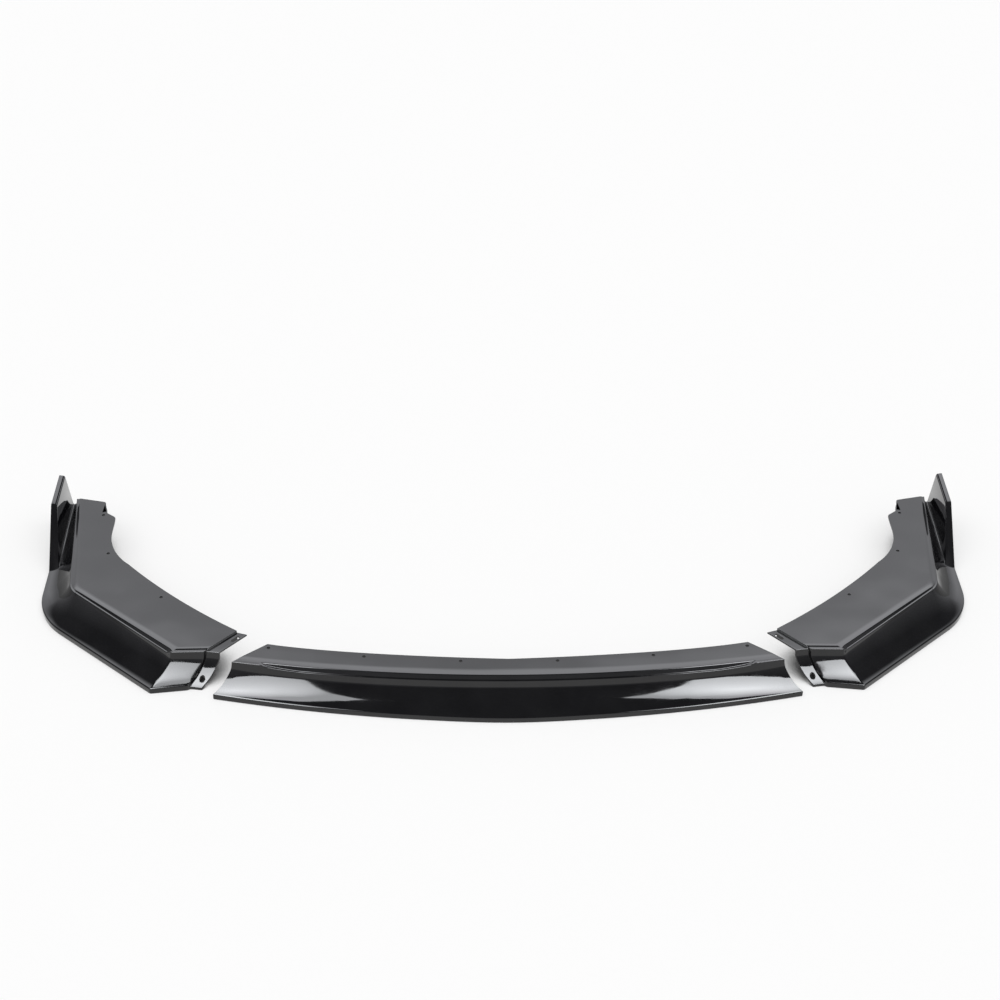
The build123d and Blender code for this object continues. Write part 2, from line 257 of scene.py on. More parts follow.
class StudioSettings(bpy.types.PropertyGroup):
    """Floor, backdrop, lamps and camera"""

    camera_at: place("Camera", "Place of the camera", -77.7, -2548.7, 1926)
    pitch: angle("Pitch", "Fall of the view", 32.99)
    yaw: angle("Yaw", "Turn of the view towards +X", 1.42)
    roll: angle("Roll", "Lean of the view", 0.618)
    focal: share("Focal length", "Focal length on a 36 mm sensor", 56.556)
    floor: colour("Floor", "Colour of the floor", 0.93, 0.93, 0.93)
    white_share: share("White share", "Share of plain white in the floor that the camera sees", 0.55)
    # Painted shade: the floor's colour is darkened near and under the blades, where ambient occlusion finds it
    # covered, on top of the shadows that the lamps cast.
    contact_reach: size("Contact reach", "How near a blade the floor darkens", 160)
    contact_open: pair("Contact open", "Shares of open air where the floor starts to clear, and is clear", 0.3, 0.62)
    contact_shade: share("Contact shade", "Level of the floor's colour under the blades", 0.08)
    # In the gloss the floor glows at these levels instead of showing its lit colour: painted light in the
    # reflections.
    floor_gloss: pair("Floor in the gloss", "Levels of the floor in the gloss, around and behind the car", 0.95, 2.5)
    floor_rear: place("Floor rear", "Start and end of the change to the level behind the car", 360, 480)
    side_gloss: share("Side in the gloss", "Level of the floor beside the car in the gloss", 0.35)
    floor_side: place("Floor side", "Start and end of the change to the level beside the car", 930, 1020)
    dome: share("Dome", "Level of the even light", 0.66)
    sun: share("Side light", "Strength of the soft light from each side", 0.65)
    sun_spread: angle("Side light spread", "Softness of the light from each side", 50)
    wall: share("Wall", "Brightness of the wall behind the car in the gloss", 4)
    wall_spread: pair("Wall spread", "Headings to the rear at which the wall starts, and is full", 0.53, 0.77)
    wall_top: pair("Wall top", "Heights at which the wall starts to end, and ends", 0.79, 0.85)
    panel_turn: pair("Panel turn", "Turns of the left and right side panels, in radians", 0.2456, 0.2864)
    panel_away: place("Panel distance", "Left and right side panels from the middle of the car", 868, 1116)
    panel_front: place("Panel front", "Front edges of the left and right side panels", -789, -1092)
    panel_rear: place("Panel rear", "Rear edges of the left and right side panels", 43, 162)
    panel_low: place("Panel low", "Lower edges of the left and right side panels", 240, 435)
    panel_high: place("Panel high", "Upper edges of the left and right side panels", 2000, 2350)
    glow: pair("Glow", "Brightness of the left and right side panels in the gloss", 20, 21)
    glow_along: place("Glow along", "Brightest place of the left and right side panels along them", -300, -570)
    glow_up: place("Glow up", "Brightest place of the left and right side panels above the floor", 650, 1050)
    glow_reach: place("Glow reach", "Fade of the left and right side panels from their brightest place", 650, 1000)
    glow_edge: share("Glow edge", "Share of the glow that is left at its reach", 0.36)
    glow_tint: colour("Glow tint", "Colour of the side panels", 0.95, 0.97, 1)


def way(turn):
    """Direction in plan at an angle from +X."""
    return Vector((cos(turn), sin(turn), 0))


def meet(start, start_way, other, other_way):
    """Crossing of two lines in plan."""
    return start + start_way * ((other - start).cross(other_way).z / start_way.cross(other_way).z)


def blend(first, last, part):
    """Mix two sections, number by number."""
    return Section(*[a + (b - a) * part for a, b in zip(first[:-1], last[:-1])])


def skin_points(skin, section, crest_width=0):
    """Outer skin in (out, up): corners from the plate to the wall's root, then controls to the rim's foot."""
    edge = skin.plate_height - skin.roll_drop
    ledge = edge - section.groove
    shoulder = skin.groove_run + skin.ledge_width
    root = Vector((shoulder + skin.step_run, section.root))
    corners = [
        Vector((-section.strip, skin.plate_height)),
        Vector((-section.roll, skin.plate_height)),
        Vector((0, edge)),
        Vector((skin.groove_run * section.lean, ledge)),
        Vector((shoulder, ledge)),
        root,
    ]
    controls = []
    if section.fin:
        fin = section.fin
        crest_in = Vector((fin.crest, fin.crest_height))
        crest_out = crest_in + Vector((crest_width, 0))
        folds = [root, Vector((fin.crease, fin.crease_height)), crest_in, crest_out]
        for a, b in zip(folds, folds[1:]):
            controls += [(a + b) / 2, b]
    else:
        rim = Vector((section.run, skin.rim_height))
        pull = root + Vector(((rim.x - root.x) * skin.scoop_out, (rim.y - root.y) * (1 - skin.scoop_up)))
        marks = (0, skin.scoop_first, skin.scoop_last, 1)
        for s, t in zip(marks, marks[1:]):
            for u, v in ((s, t), (t, t)):
                weight = u * (1 - v) + v * (1 - u)
                controls.append(root * ((1 - u) * (1 - v)) + pull * weight + rim * (u * v))
    return corners, controls + [Vector((section.run, 0))]


def inset(points, depth):
    """The same chain of points, moved to its right by an even depth with mitred corners."""
    legs = [(b - a).normalized() for a, b in zip(points, points[1:])]
    normals = [Vector((leg.y, -leg.x)) for leg in legs]
    moved = [points[0] + normals[0] * depth]
    for point, n1, n2 in zip(points[1:-1], normals, normals[1:]):
        moved.append(point + (n1 + n2) * (depth / (1 + n1.dot(n2))))
    moved.append(points[-1] + normals[-1] * depth)
    return moved


def sunk(chain, depth):
    """A chain of corners and controls, moved inward by a depth and still ending on the floor."""
    corners, controls = chain
    moved = inset(corners + controls, depth)
    leg = controls[-1] - controls[-2]
    moved[-1] -= leg * (moved[-1].y / leg.y)
    return moved[: len(corners)], moved[len(corners) :]


def straight_legs(points):
    """Legs of a chain of points, each as a start, a control and an end."""
    return [(a, (a + b) / 2, b) for a, b in zip(points, points[1:])]


def chain_legs(chain):
    """Legs of a section: straight ones over the corners, curved ones down the lip and a straight rim."""
    corners, controls = chain
    lip = corners[-1:] + controls
    curves = [tuple(lip[i : i + 3]) for i in range(0, len(lip) - 2, 2)]
    return straight_legs(corners) + curves + straight_legs(lip[-2:])


def on_leg(leg, part):
    """Point of a leg."""
    a, b, c = leg
    return a.lerp(b, part).lerp(b.lerp(c, part), part)


def leg_way(leg, part):
    """Direction of a leg."""
    a, b, c = leg
    return (b - a).lerp(c - b, part)


def eased_corner(leg, leave, next_leg, arrive):
    """Control of the curve that eases the corner between two legs."""
    knot = leg[2]
    if len(knot) == 2:
        first, last = leg_way(leg, leave), leg_way(next_leg, arrive)
        turn = first.x * last.y - first.y * last.x
        if abs(turn) > LEAST_TURN * first.length * last.length:
            start = on_leg(leg, leave)
            across = on_leg(next_leg, arrive) - start
            knot = start + first * ((across.x * last.y - across.y * last.x) / turn)
    return knot


def traced(legs, eases, spans):
    """Points along a chain of legs, each cut into spans, with its corners eased over the given lengths."""
    trims = []
    for leg, before, after in zip(legs, [0, *eases], [*eases, 0]):
        length = (leg[2] - leg[0]).length
        most = MOST_SHARED if before and after else MOST_ALONE
        trims.append((min(before / length, most), 1 - min(after / length, most)))
    points = []
    for i, (leg, (start, end), span) in enumerate(zip(legs, trims, spans)):
        points += [on_leg(leg, start + (end - start) * step / span) for step in range(span + 1)]
        if i + 1 == len(legs):
            break
        if eases[i] == 0:
            points.pop()
            continue
        arrive = trims[i + 1][0]
        control = eased_corner(leg, end, legs[i + 1], arrive)
        curve = (points[-1], control, on_leg(legs[i + 1], arrive))
        points += [on_leg(curve, step / EASE_STEPS) for step in range(1, EASE_STEPS)]
    return points


def skin_rows(skin, section, crest_width=0):
    """Outer and inner points of a section, in (out, up)."""
    chain = skin_points(skin, section, crest_width)
    return [traced(chain_legs(side), SKIN_EASES, SKIN_SPANS) for side in (chain, sunk(chain, skin.wall))]


def stand(point, out_way, profile):
    """Points of a section, stood upright over a point of the plate edge."""
    return [point + out_way * p.x + Vector((0, 0, p.y)) for p in profile]


def deselect():
    """Leave nothing selected before a primitive is added."""
    if bpy.context.object and bpy.context.object.mode != "OBJECT":
        bpy.ops.object.mode_set(mode="OBJECT")
    bpy.ops.object.select_all(action="DESELECT")


def only(obj):
    """Select one object and nothing else."""
    deselect()
    obj.select_set(True)
    bpy.context.view_layer.objects.active = obj


def edit(obj, *steps):
    """Run mesh operators, each with its settings, on the whole of an object."""
    only(obj)
    bpy.ops.object.mode_set(mode="EDIT")
    for operator, settings in steps:
        bpy.ops.mesh.select_all(action="SELECT")
        operator(**settings)
    bpy.ops.object.mode_set(mode="OBJECT")


FACE_OUT = (bpy.ops.mesh.normals_make_consistent, {"inside": False})


def move_points(obj, points):
    """Give every vertex of a new primitive its place, and leave the object at the origin."""
    obj.matrix_world = Matrix.Identity(4)
    for vertex, point in zip(obj.data.vertices, points, strict=True):
        vertex.co = point
    obj.data.update()


def grid_sheet(name, rows):
    """A grid whose rows of vertices are shaped to the given rows of points."""
    deselect()
    bpy.ops.mesh.primitive_grid_add(x_subdivisions=len(rows[0]) - 1, y_subdivisions=len(rows) - 1)
    obj = bpy.context.object
    obj.name = name
    move_points(obj, [point for row in rows for point in row])
    return obj


def plan_face(name, points):
    """A flat face with the given outline."""
    deselect()
    bpy.ops.mesh.primitive_circle_add(vertices=len(points), fill_type="NGON")
    obj = bpy.context.object
    obj.name = name
    move_points(obj, points)
    return obj


def prism(name, outline, top, bottom):
    """An upright block with the given outline."""
    obj = plan_face(name, [Vector((point.x, point.y, bottom)) for point in outline])
    lift = {"TRANSFORM_OT_translate": {"value": (0, 0, top - bottom)}}
    edit(obj, (bpy.ops.mesh.extrude_region_move, lift), FACE_OUT)
    return obj


def pin(name, point, radius, top, bottom):
    """An upright round bar, to drill a hole with."""
    deselect()
    middle = (point.x, point.y, (top + bottom) / 2)
    bpy.ops.mesh.primitive_cylinder_add(vertices=HOLE_SIDES, radius=radius, depth=top - bottom, location=middle)
    bpy.context.object.name = name
    return bpy.context.object


def drill(blade, skin, places):
    """Drill screw holes down through a plate and the collars under them."""
    radius, top = skin.screw_hole / 2, skin.plate_height + skin.wall
    collar_top = skin.plate_height - skin.wall / 2
    collar_foot = skin.plate_height - skin.wall - skin.collar_drop
    collars = [pin("screw_collar", at, radius + skin.collar_wall, collar_top, collar_foot) for at in places]
    carve(blade, join(collars), "UNION")
    pins = [pin("screw_pin", at, radius, top, collar_foot - skin.wall) for at in places]
    carve(blade, join(pins), "DIFFERENCE")


def join(objects):
    """Join objects into the first one."""
    only(objects[0])
    for obj in objects:
        obj.select_set(True)
    bpy.ops.object.join()
    return objects[0]


def weld(obj):
    """Merge the seams of a sheet and turn its faces upwards."""
    edit(obj, (bpy.ops.mesh.remove_doubles, {"threshold": MERGE_WITHIN}), FACE_OUT)
    if sum(face.normal.z * face.area for face in obj.data.polygons) < 0:
        edit(obj, (bpy.ops.mesh.flip_normals, {}))


def apply_modifier(obj, name, kind, **settings):
    """Add a modifier with its settings and apply it."""
    only(obj)
    modifier = obj.modifiers.new(name, kind)
    for key, value in settings.items():
        setattr(modifier, key, value)
    bpy.ops.object.modifier_apply(modifier=modifier.name)


def matched(outer, inner):
    """Points of the outer rows, each with the inner point behind it."""
    return [both for rows in zip(outer, inner) for both in zip(*rows)]


def thicken(obj, wall, pairs):
    """Give a sheet its wall. Pairs are outer and inner points, and each inner vertex goes to its own."""
    count = len(obj.data.vertices)
    apply_modifier(obj, "wall", "SOLIDIFY", thickness=wall, offset=-1)
    tree = KDTree(len(pairs))
    for i, (outer, _) in enumerate(pairs):
        tree.insert(outer, i)
    tree.balance()
    vertices = obj.data.vertices
    for vertex in range(count):
        _, i, away = tree.find(vertices[vertex].co)
        if away > FOUND_WITHIN:
            raise RuntimeError(f"{obj.name} has a vertex with no inner point")
        vertices[vertex + count].co = pairs[i][1]
    obj.data.update()


def carve(obj, tool, operation):
    """Cut a tool out of a piece, or add it, and throw the tool away."""
    apply_modifier(obj, operation.lower(), "BOOLEAN", operation=operation, solver="EXACT", object=tool)
    bpy.data.objects.remove(tool)


def round_edges(obj, width):
    """Round the cut edges."""
    corners = {"limit_method": "ANGLE", "angle_limit": ROUND_FROM, "miter_outer": "MITER_ARC"}
    apply_modifier(obj, "edge_round", "BEVEL", width=width, segments=2, use_clamp_overlap=False, **corners)


def finish_piece(obj, node):
    """Smooth a piece, give it its finish and let it stand for its CAD node."""
    only(obj)
    bpy.ops.object.shade_smooth_by_angle(angle=SHARP_FROM)
    apply_modifier(obj, "flats", "WEIGHTED_NORMAL", mode="FACE_AREA_WITH_ANGLE", weight=50, keep_sharp=True)
    obj.data.materials.clear()
    obj.data.materials.append(gloss_black(bpy.context.scene.lip_finish))
    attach(obj, "root")
    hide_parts(node)


def wire(socket, value):
    """Set a node's socket to a value, or link it to another node's output."""
    if isinstance(value, bpy.types.NodeSocket):
        socket.id_data.links.new(value, socket)
    else:
        socket.default_value = value


def add_node(tree, kind, sockets=(), **settings):
    """Add a node with its settings, and wire its sockets."""
    node = tree.nodes.new(f"ShaderNode{kind}")
    for key, value in settings.items():
        setattr(node, key, value)
    for key, value in dict(sockets).items():
        wire(node.inputs[key], value)
    return node


def math_node(tree, operation, *values):
    """Number worked out from other numbers and outputs."""
    return add_node(tree, "Math", enumerate(values), operation=operation).outputs["Value"]


def vector_node(tree, operation, *values):
    """Outputs of a sum on vectors."""
    return add_node(tree, "VectorMath", enumerate(values), operation=operation).outputs


def map_range(tree, value, start, end, first=0, last=1, kind="SMOOTHSTEP"):
    """Number that goes from first to last while a value goes from start to end."""
    sockets = {"Value": value, "From Min": start, "From Max": end, "To Min": first, "To Max": last}
    return add_node(tree, "MapRange", sockets, interpolation_type=kind).outputs["Result"]


def colour_ramp(tree, value, stops):
    """Colour that a value picks from a row of positions and colours."""
    ramp = add_node(tree, "ValToRGB", {"Fac": value})
    elements = ramp.color_ramp.elements
    while len(elements) < len(stops):
        elements.new(0.5)
    for element, (position, levels) in zip(elements, stops):
        element.position = position
        element.color = (*levels, 1)
    return ramp.outputs["Color"]


def mix_colours(tree, factor, first, last):
    """Colour between two others."""
    sockets = {"Factor": factor, "A": first, "B": last}
    return add_node(tree, "Mix", sockets, data_type="RGBA").outputs["Result"]


def mix_shaders(tree, factor, first, last):
    """Shader between two others."""
    return add_node(tree, "MixShader", {"Fac": factor, 1: first, 2: last}).outputs["Shader"]


def gloss_black(finish):
    """Gloss black plastic with faint flow marks, slow waves and a fine orange peel."""
    name = "gloss_black_plastic"
    if name in bpy.data.materials:
        return bpy.data.materials[name]
    material = bpy.data.materials.new(name)
    material.use_nodes = True
    tree = material.node_tree
    shader = tree.nodes["Principled BSDF"].inputs
    shader["IOR"].default_value = finish.ior
    spot = add_node(tree, "TexCoord").outputs["Object"]

    def noise(scale, detail, distortion=0):
        sockets = {"Vector": spot, "Scale": scale, "Detail": detail, "Distortion": distortion}
        return add_node(tree, "TexNoise", sockets).outputs["Fac"]

    def bump(height, depth, **under):
        sockets = {"Height": height, "Strength": 1, "Distance": depth, **under}
        return add_node(tree, "Bump", sockets).outputs["Normal"]

    flow = noise(scale=14, detail=5)
    wire(shader["Base Color"], colour_ramp(tree, flow, ((0.35, finish.black), (0.75, finish.grain))))

    smears = noise(scale=22, detail=6, distortion=0.6)
    wire(shader["Roughness"], map_range(tree, smears, 0.3, 0.75, finish.smooth, finish.rough, "LINEAR"))

    waves = bump(noise(scale=7, detail=1), finish.wave)
    wire(shader["Normal"], bump(noise(scale=320, detail=2), finish.peel, Normal=waves))
    return material


class Joint:
    """Joint line of the fitted blades: from the rear corner of the flange's end, forward and outward"""

    def __init__(self, centre, joint):
        self.hub = Vector((0, centre.edge_radius, 0))
        flange_radius = centre.edge_radius - centre.flange_end
        self.rear = Vector((joint.half_span, centre.edge_radius - sqrt(flange_radius**2 - joint.half_span**2), 0))
        self.out_way = way(-joint.angle)
        along = (self.rear - self.hub).dot(self.out_way)
        self.flange = sqrt(along**2 - (self.rear - self.hub).length ** 2 + centre.edge_radius**2) - along
        self.front = self.rear + self.out_way * self.flange
        self.end_turn = asin(self.front.x / centre.edge_radius)
        self.back_way = way(pi / 2 - joint.angle)


def layout_shift(context):
    """Shift of the fitted blades that puts the laid-out set where the CAD has it."""
    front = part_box("centre_blade")[0].y
    return Vector((0, front + context.scene.lip_centre.run_middle, 0))


# Ends of the centre's groove, and the share of each half over which the nose is softened
FADE_POWER = 0.4
LEAST_LEAN = 0.1
NOSE_SHARE = 0.3


def centre_section(centre, part):
    """Section of the centre blade at a share of the way from the middle to the joint."""
    fade = (centre.groove_gone_at - part) / (centre.groove_gone_at - centre.groove_full_at)
    fade = min(max(fade, 0), 1) ** FADE_POWER
    flare = min(part, 1) ** centre.flare_power
    swell = centre.flange_swell * 4 * part * (1 - part)
    near = part / NOSE_SHARE
    bow = part if near > 1 else NOSE_SHARE * near**2 * (2 - near)
    return Section(
        strip=centre.flange_middle + swell + (centre.flange_end - centre.flange_middle) * flare,
        roll=centre.roll_middle + (centre.roll_end - centre.roll_middle) * part,
        groove=centre.groove_depth * fade,
        root=centre.root_middle + (centre.root_end - centre.root_middle) * flare,
        run=centre.run_middle + (centre.run_end - centre.run_middle) * bow,
        lean=max(fade, LEAST_LEAN),
    )


class CentreOperator(bpy.types.Operator):
    """Build the bowed centre blade with its grooved edge and screw holes"""

    bl_idname = "splitter_lip.centre_blade"
    bl_label = "Centre Blade"

    ROWS = 150
    STRAIGHT_TO = 0.66
    SCAN_STEP, SCAN_STEPS = 0.004, 150
    FINE_STEPS = 1000
    SCREW_PAIRS = 3

    def execute(self, context):
        scene = context.scene
        skin, centre, joint = scene.lip_skin, scene.lip_centre, Joint(scene.lip_centre, scene.lip_joint)
        shift = layout_shift(context)
        cache = {}

        def rows_at(part):
            if part not in cache:
                out_way = way(joint.end_turn * part - pi / 2)
                edge = joint.hub + out_way * centre.edge_radius
                section = centre_section(centre, part)
                cache[part] = [stand(edge, out_way, side) for side in skin_rows(skin, section)]
            return cache[part]

        def past_joint(part, side, column):
            return (rows_at(part)[side][column] - joint.rear).dot(joint.back_way)

        # Every column of points runs on to the joint line, which cuts the blade's end off at an angle.
        scan = [self.STRAIGHT_TO + self.SCAN_STEP * i for i in range(self.SCAN_STEPS)]
        columns = range(len(rows_at(0)[0]))
        sheets = []
        for side in (0, 1):
            ends = []
            for column in columns:
                last = next(part for part in scan if past_joint(part, side, column) > 0)
                first = last - self.SCAN_STEP
                a, b = past_joint(first, side, column), past_joint(last, side, column)
                ends.append(first + self.SCAN_STEP * a / (a - b))
            rows = []
            for step in range(self.ROWS + 1):
                part = step / self.ROWS
                if part <= self.STRAIGHT_TO:
                    rows.append(rows_at(part)[side])
                    continue
                reach = (part - self.STRAIGHT_TO) / (1 - self.STRAIGHT_TO)
                row = []
                for column in columns:
                    exact = self.STRAIGHT_TO + (ends[column] - self.STRAIGHT_TO) * reach
                    low = int(exact * self.FINE_STEPS) / self.FINE_STEPS
                    high = round(low + 1 / self.FINE_STEPS, 3)
                    before, after = rows_at(low)[side][column], rows_at(high)[side][column]
                    row.append(before.lerp(after, (exact - low) * self.FINE_STEPS))
                rows.append(row)
            sheets.append([[point + shift for point in row] for row in rows])

        outer, inner = sheets
        blade = grid_sheet("centre_blade_moulding", outer)
        apply_modifier(blade, "halves", "MIRROR", use_axis=(True, False, False), merge_threshold=MERGE_WITHIN)
        weld(blade)
        pairs = matched(outer, inner)
        flip = Vector((-1, 1, 1))
        pairs += [(o * flip, i * flip) for o, i in pairs]
        thicken(blade, skin.wall, pairs)

        places = []
        pitch = scene.lip_joint.half_span / (2 * self.SCREW_PAIRS - 1)
        for step in range(self.SCREW_PAIRS):
            x = pitch * (2 * step + 1)
            part = asin(x / centre.edge_radius) / joint.end_turn
            radius = centre.edge_radius - centre_section(centre, part).strip + centre.screw_inset
            y = centre.edge_radius - sqrt(radius**2 - x**2)
            for hand in (-1, 1):
                places.append(Vector((hand * x, y, 0)) + shift)
        drill(blade, skin, places)
        round_edges(blade, skin.edge_round)
        finish_piece(blade, "centre_blade")
        return {"FINISHED"}


class CornerPlan:
    """Plan of the right corner blade in its fitted place"""

    SWELL_STEPS, ROUND_STEPS = 10, 22
    SWEEP_STEPS, BOW_STEPS = 24, 25
    TAB_TRIES = 30

    def __init__(self, scene):
        self.skin, self.corner, self.fin = scene.lip_skin, scene.lip_corner, scene.lip_winglet
        self.joint_sizes = scene.lip_joint
        self.joint = Joint(scene.lip_centre, scene.lip_joint)
        corner, joint = self.corner, self.joint
        self.out_way = joint.out_way
        self.back_way = joint.back_way
        self.side_way = way(corner.side_angle)
        self.side_out = way(corner.side_angle - pi / 2)
        self.rear_out = way(corner.rear_angle)
        self.rear = joint.rear + self.back_way * scene.lip_joint.gap
        self.front = joint.front + self.back_way * scene.lip_joint.gap
        self.crease = self.front + way(corner.short_angle) * corner.short_length
        self.bend = self.crease + self.back_way * corner.diagonal_length
        self.rear_outer = self.bend + self.side_way * corner.side_length
        self.rear_inner = self.rear_outer - self.rear_out * corner.rear_width

        self.turn = corner.side_angle - (pi / 2 - scene.lip_joint.angle)
        tangent = corner.corner_radius * tan(self.turn / 2)
        self.round_start = self.bend - self.back_way * tangent
        self.round_hub = self.round_start - self.out_way * corner.corner_radius
        self.round_end = self.bend + self.side_way * tangent

        self.rim_crease = self.crease + self.out_way * corner.diagonal_run
        rim_front = self.bend + self.side_out * corner.side_run
        rim_rear = self.rear_outer + self.side_out * corner.rear_run
        self.rim_way = (rim_rear - rim_front).normalized()
        self.rim_bend = meet(self.rim_crease, self.back_way, rim_front, self.rim_way)
        self.rim_tangent = corner.rim_radius * tan(self.back_way.angle(self.rim_way) / 2)
        round_in = self.rim_bend - self.back_way * self.rim_tangent
        self.rim_hub = round_in - self.out_way * corner.rim_radius
        self.swell_start = self.crease + self.back_way * (round_in - self.crease).dot(self.back_way)
        round_out = self.rim_bend + self.rim_way * self.rim_tangent
        self.swell_end = self.bend + self.side_way * (round_out - self.bend).dot(self.side_way)

        roll = scene.lip_centre.roll_end
        root = scene.lip_centre.root_end
        self.joint_section = Section(corner.edge_inset, roll, 0, root, scene.lip_joint.run)
        self.diagonal_section = self.joint_section._replace(groove=corner.diagonal_groove)
        self.side_section = Section(
            corner.edge_inset, corner.side_roll, corner.side_groove, corner.side_root, corner.side_run
        )
        kink_root = (corner.side_root + self.fin.tip_root) / 2
        self.kink_section = self.side_section._replace(
            roll=corner.rear_roll, root=kink_root, fin=Fin(*self.fin.kink_crease, *self.fin.kink_crest)
        )
        self.tip_section = self.side_section._replace(
            roll=corner.rear_roll, root=self.fin.tip_root, fin=Fin(*self.fin.tip_crease, *self.fin.tip_crest)
        )

    def rim_reach(self, point, out_way):
        """Distance from a point of the plate edge out to the rim."""
        hit = meet(point, out_way, self.rim_bend, self.back_way)
        if (hit - self.rim_bend).dot(self.back_way) > -self.rim_tangent:
            hit = meet(point, out_way, self.rim_bend, self.rim_way)
            if (hit - self.rim_bend).dot(self.rim_way) < self.rim_tangent:
                off = point - self.rim_hub
                along = off.dot(out_way)
                reach = sqrt(along**2 - off.length_squared + self.corner.rim_radius**2) - along
                hit = point + out_way * reach
        return (hit - point).length

    def row(self, point, out_way, section, to_rim=True):
        """Outer and inner points of a section that stands over the plate edge."""
        if to_rim:
            section = section._replace(run=self.rim_reach(point, out_way))
        return [stand(point, out_way, side) for side in skin_rows(self.skin, section, self.fin.crest_width)]

    def rows(self):
        """Outer and inner rows along the whole plate edge, from the joint to the rear."""
        corner = self.corner
        ramp_end = self.crease + self.back_way * corner.groove_ramp
        straight = (self.round_start - ramp_end).length
        fade_length = straight + corner.corner_radius * self.turn

        def faded(length):
            return blend(self.diagonal_section, self.side_section, length / fade_length)

        # Each key is a row of the skin, the length over which it is eased, and the spans up to the next one.
        keys = [
            (self.row(self.front, self.out_way, self.joint_section, to_rim=False), 0, 9),
            (self.row(self.crease, self.out_way, self.joint_section), 0.0025, 3),
            (self.row(ramp_end, self.out_way, self.diagonal_section), 0.002, 12),
        ]
        for step in range(self.SWELL_STEPS):
            point = self.swell_start.lerp(self.round_start, step / self.SWELL_STEPS)
            keys.append((self.row(point, self.out_way, faded((point - ramp_end).length)), 0, 1))
        for step in range(self.ROUND_STEPS):
            swing = self.turn * step / self.ROUND_STEPS
            out_way = way(swing - self.joint_sizes.angle)
            point = self.round_hub + out_way * corner.corner_radius
            keys.append((self.row(point, out_way, faded(straight + corner.corner_radius * swing)), 0, 1))
        for step in range(self.SWELL_STEPS):
            point = self.round_end.lerp(self.swell_end, step / self.SWELL_STEPS)
            keys.append((self.row(point, self.side_out, self.side_section), 0, 1))
        fin_start = self.bend + self.side_way * self.fin.start
        fin_kink = self.bend + self.side_way * self.fin.kink
        keys += [
            (self.row(self.swell_end, self.side_out, self.side_section), 0.004, 8),
            (self.row(fin_start, self.rear_out, self.side_section), 0.003, 20),
            (self.row(fin_kink, self.rear_out, self.kink_section), 0.003, 14),
            (self.row(self.rear_outer, self.rear_out, self.tip_section), 0, 1),
        ]
        eases = [ease for _, ease, _ in keys[1:-1]]
        spans = [span for _, _, span in keys[:-1]]
        sheets = []
        for side in (0, 1):
            columns = [
                traced(straight_legs(list(column)), eases, spans) for column in zip(*[key[0][side] for key in keys])
            ]
            sheets.append([list(row) for row in zip(*columns)])
        return sheets

    def from_joint(self, along, inward):
        """Point in plan at a distance along the joint and a distance inward of it."""
        return self.rear + self.out_way * along - self.back_way * inward

    def from_rear(self, away):
        """Point in plan from its distances inward and forward of the inner rear corner."""
        return self.rear_inner - Vector((*away, 0))

    def tab_inward(self, along):
        """How far the tab reaches inward at a distance along the joint."""
        sizes = self.joint_sizes
        corners = [sizes.tab_rear, sizes.tab_middle, sizes.tab_front]
        for a, b in zip(corners, corners[1:]):
            if along <= b[0] or b is corners[-1]:
                return a[1] + (b[1] - a[1]) * (along - a[0]) / (b[0] - a[0])

    def tab_rows(self):
        """Outer and inner rows of the joint's step and tab, from the plate down and inward."""
        skin, sizes, joint = self.skin, self.joint_sizes, self.joint
        spread = joint.flange - self.corner.edge_inset
        flat = [
            Vector((-joint.flange + spread * i / FLAT_POINTS, skin.plate_height)) for i in range(FLAT_POINTS)
        ]
        outer, inner = skin_rows(skin, self.joint_section)
        top = [flat + outer, [point - Vector((0, skin.wall)) for point in flat] + inner]

        _, controls = skin_points(skin, self.joint_section._replace(run=sizes.run + sizes.lap_rim_out))
        shoulder = skin.groove_run + skin.ledge_width
        level = skin.plate_height + sizes.lap_clearance - sizes.lap_gap
        lap_corners = [
            Vector((-joint.flange, level)),
            Vector((shoulder, level)),
            Vector((shoulder + skin.step_run, self.joint_section.root)),
        ]
        # The tab's flat has as many points as the plate has up to the end of its fourth leg.
        legs = SKIN_SPANS[:4]
        before_edge = FLAT_POINTS + sum(legs) + len(legs) + (len(legs) - 1) * (EASE_STEPS - 1)
        spans = (before_edge - 1, *SKIN_SPANS[4:])
        lap_top = skin.wall + sizes.lap_clearance
        low = [
            traced(chain_legs(sunk((lap_corners, controls), depth)), SKIN_EASES[3:], spans)
            for depth in (lap_top, lap_top + skin.wall)
        ]
        lap_way = way(sizes.lap_angle)
        drift = lap_way.dot(self.out_way) / lap_way.dot(self.back_way)
        short_way = way(self.corner.short_angle)
        sheets = []
        for side in (0, 1):
            step = short_way * (skin.wall * side)
            rows = [stand(self.front + step, self.out_way, top[side])]
            start = stand(self.front + step, self.out_way, low[side])
            ends = []
            for point in low[side][before_edge - 1 :]:
                along = joint.flange + point.x
                inward = 0
                for _ in range(self.TAB_TRIES):
                    inward = self.tab_inward(along - drift * inward)
                ends.append((along - drift * inward, inward, point.y))
            corner_end = (*sizes.tab_rear, low[side][0].y)
            flat_ends = []
            for i in range(before_edge - 1):
                part = i / (before_edge - 1)
                flat_ends.append([a + (b - a) * part for a, b in zip(corner_end, ends[0])])
            end = [
                self.from_joint(along, inward) + Vector((0, 0, up)) for along, inward, up in flat_ends + ends
            ]
            for r in range(TAB_ROWS + 1):
                rows.append([a.lerp(b, r / TAB_ROWS) for a, b in zip(start, end)])
            sheets.append(rows)
        return sheets

    def inner_edge(self):
        """Plate outline from the rear edge round the ear and along the inner edge to the joint."""
        corner = self.corner
        notch = self.from_rear(corner.ear_notch)
        tip = self.from_rear(corner.ear_tip)
        waist = self.from_rear(corner.waist)
        bend = self.from_rear(corner.inner_bend)
        inner_way = (bend - self.rear).normalized()
        inner_right = Vector((inner_way.y, -inner_way.x, 0))
        rear_in = self.rear_outer - self.rear_out * corner.edge_inset

